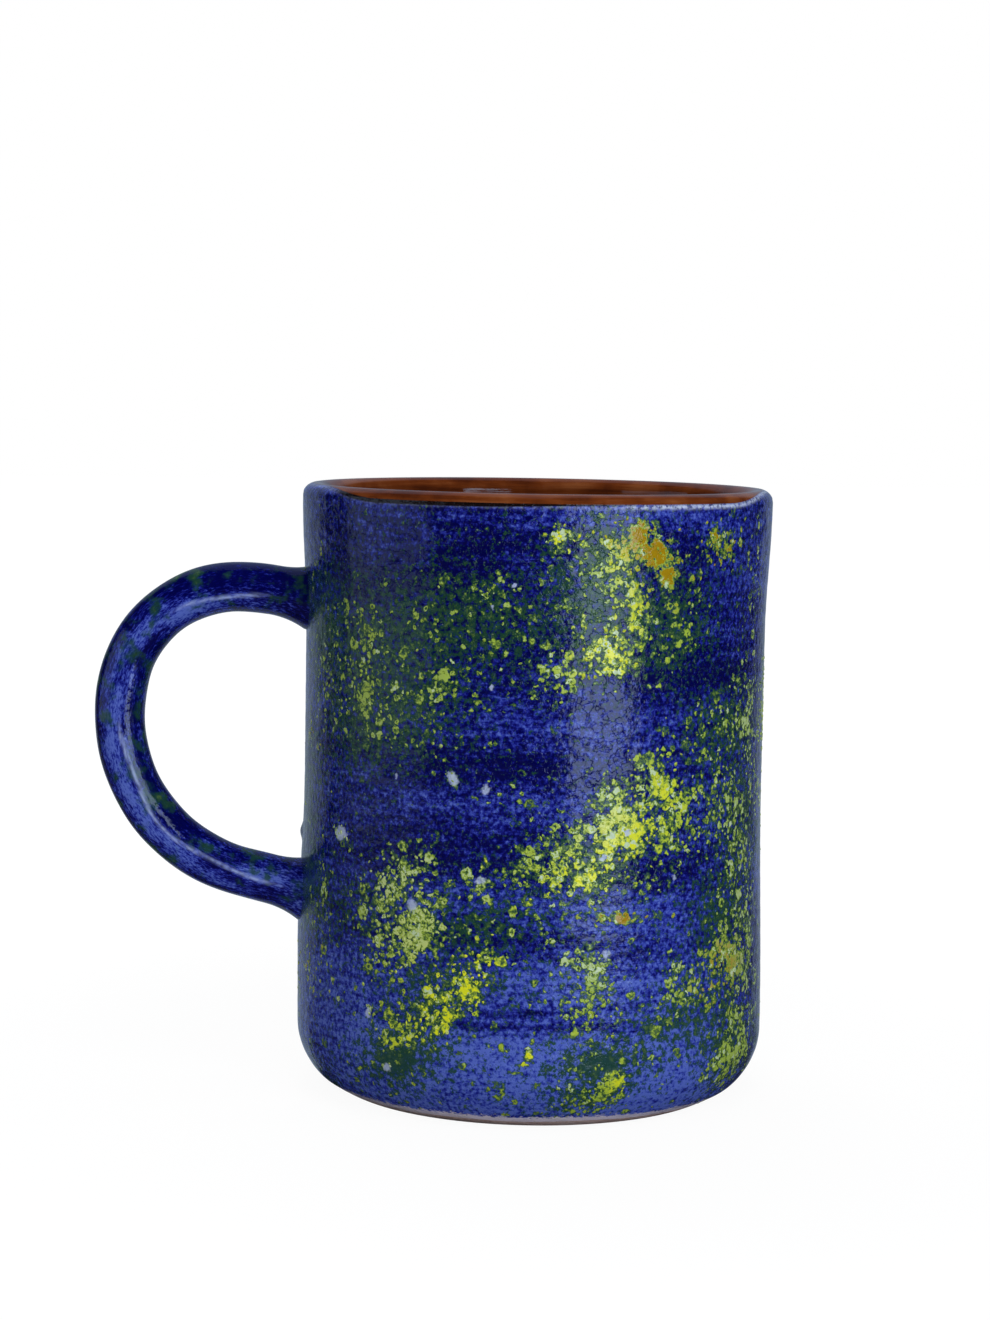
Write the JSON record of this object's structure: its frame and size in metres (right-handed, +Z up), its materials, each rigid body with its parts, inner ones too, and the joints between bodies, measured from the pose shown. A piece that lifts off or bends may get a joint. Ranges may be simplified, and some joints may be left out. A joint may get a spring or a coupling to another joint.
{
  "type": "clay mug",
  "caption": "Wheel-thrown clay mug with a rounded foot, slightly flared wall and looped coil handle, glazed blue with sponged flecks outside and clear over red clay inside.",
  "frame": {"origin": "centre of the foot, on the plane that the mug stands on", "axes": "+Z up along the cup's axis, -X towards the handle, Y across the handle"},
  "size_m": [0.117, 0.0816, 0.1048],
  "materials": {
    "red_clay": "bare fired clay, matt",
    "clay_slip": "fired slip, matt",
    "blue_glaze": "glossy blue, sponged with yellow, green and pale flecks",
    "clear_glaze": "glossy clear over red clay"
  },
  "bodies": {
    "root": {"clay_cup": "red_clay", "clay_handle": "red_clay", "upper_slip_joint": "clay_slip", "lower_slip_joint": "clay_slip", "wall_glaze": "blue_glaze", "handle_glaze": "blue_glaze", "lining_glaze": "clear_glaze"}
  },
  "joints": []
}
